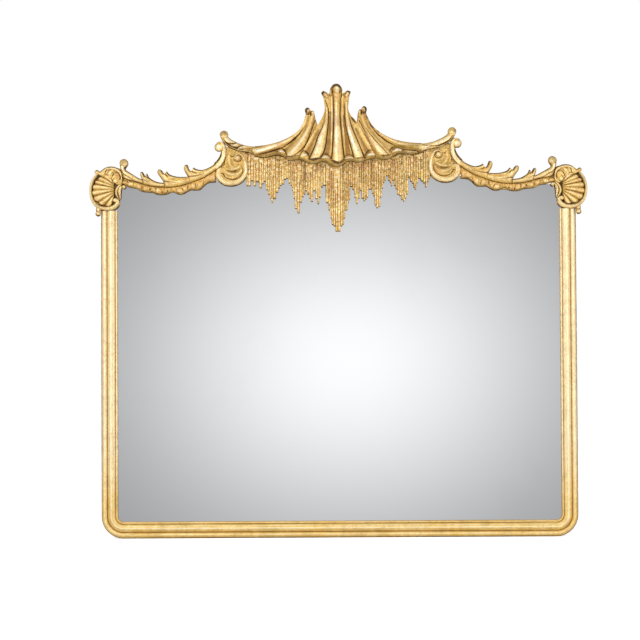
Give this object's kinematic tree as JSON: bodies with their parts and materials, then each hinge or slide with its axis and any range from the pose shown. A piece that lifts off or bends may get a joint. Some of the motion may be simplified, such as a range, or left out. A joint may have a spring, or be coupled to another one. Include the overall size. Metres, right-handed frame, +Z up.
{
  "type": "overmantel mirror",
  "caption": "Carved and gilded overmantel mirror with a moulded frame, corner shells, swept leaves and a fluted canopy over a curtain of icicles.",
  "frame": {"origin": "middle of the lower edge of the bottom rail, in the back plane", "axes": "+X along the width to the viewer's right, +Y from the front towards the wall, +Z up"},
  "size_m": [1.4906, 0.108, 1.357],
  "materials": {
    "gilding": "water-gilded, burnished and worn",
    "pine_gilt_edge": "bare pine behind, toned edges",
    "pine": "bare, aged",
    "silvered_glass": "polished",
    "hanger_brass": "dull",
    "screw_steel": "aged"
  },
  "bodies": {
    "frame": {"left_stile": "gilding", "right_stile": "gilding", "bottom_rail": "gilding", "corner_block_left": "gilding", "corner_block_right": "gilding", "top_rail_left": "pine_gilt_edge", "top_rail_centre": "pine_gilt_edge", "top_rail_right": "pine_gilt_edge", "mirror_plate": "silvered_glass", "glazing_blocks": "pine", "backboard_1": "pine", "backboard_2": "pine", "backboard_3": "pine", "backboard_4": "pine", "backboard_5": "pine", "backboard_screws": "screw_steel", "hanger_strap_left": "hanger_brass", "hanger_strap_right": "hanger_brass", "hanger_screws": "screw_steel", "medallion_plate_left": "gilding", "medallion_plate_right": "gilding", "medallion_ring_left": "gilding", "medallion_ring_right": "gilding", "medallion_shell_left": "gilding", "medallion_shell_right": "gilding", "medallion_leaf_left": "gilding", "medallion_leaf_right": "gilding", "medallion_volute_left": "gilding", "medallion_volute_right": "gilding", "medallion_crescent_left": "gilding", "medallion_crescent_right": "gilding", "medallion_ear_left": "gilding", "medallion_ear_right": "gilding", "sweep_end_left": "gilding", "sweep_end_right": "gilding", "sweep_outer_leaf_left": "gilding", "sweep_outer_leaf_right": "gilding", "sweep_inner_leaves_left": "gilding", "sweep_inner_leaves_right": "gilding", "rockwork_left": "gilding", "rockwork_right": "gilding", "scroll_strap_left": "gilding", "scroll_strap_right": "gilding", "cartouche_scroll_left": "gilding", "cartouche_scroll_right": "gilding", "cartouche_petals_left": "gilding", "cartouche_petals_right": "gilding", "canopy_centre": "gilding", "canopy_wing_left": "gilding", "canopy_wing_right": "gilding", "canopy_end_left": "gilding", "canopy_end_right": "gilding", "icicles_left": "gilding", "icicles_centre": "gilding", "icicles_right": "gilding"},
    "left_ring": {"hanger_ring_left": "hanger_brass"},
    "right_ring": {"hanger_ring_right": "hanger_brass"}
  },
  "joints": [
    {"name": "left_ring_swing", "type": "hinge", "parent": "frame", "child": "left_ring", "pos_m": [-0.6965, 0.0035, 0.9], "axis": [1, 0, 0], "range_deg": [0, 175]},
    {"name": "right_ring_swing", "type": "hinge", "parent": "frame", "child": "right_ring", "pos_m": [0.6965, 0.0035, 0.9], "axis": [1, 0, 0], "range_deg": [0, 175]}
  ]
}
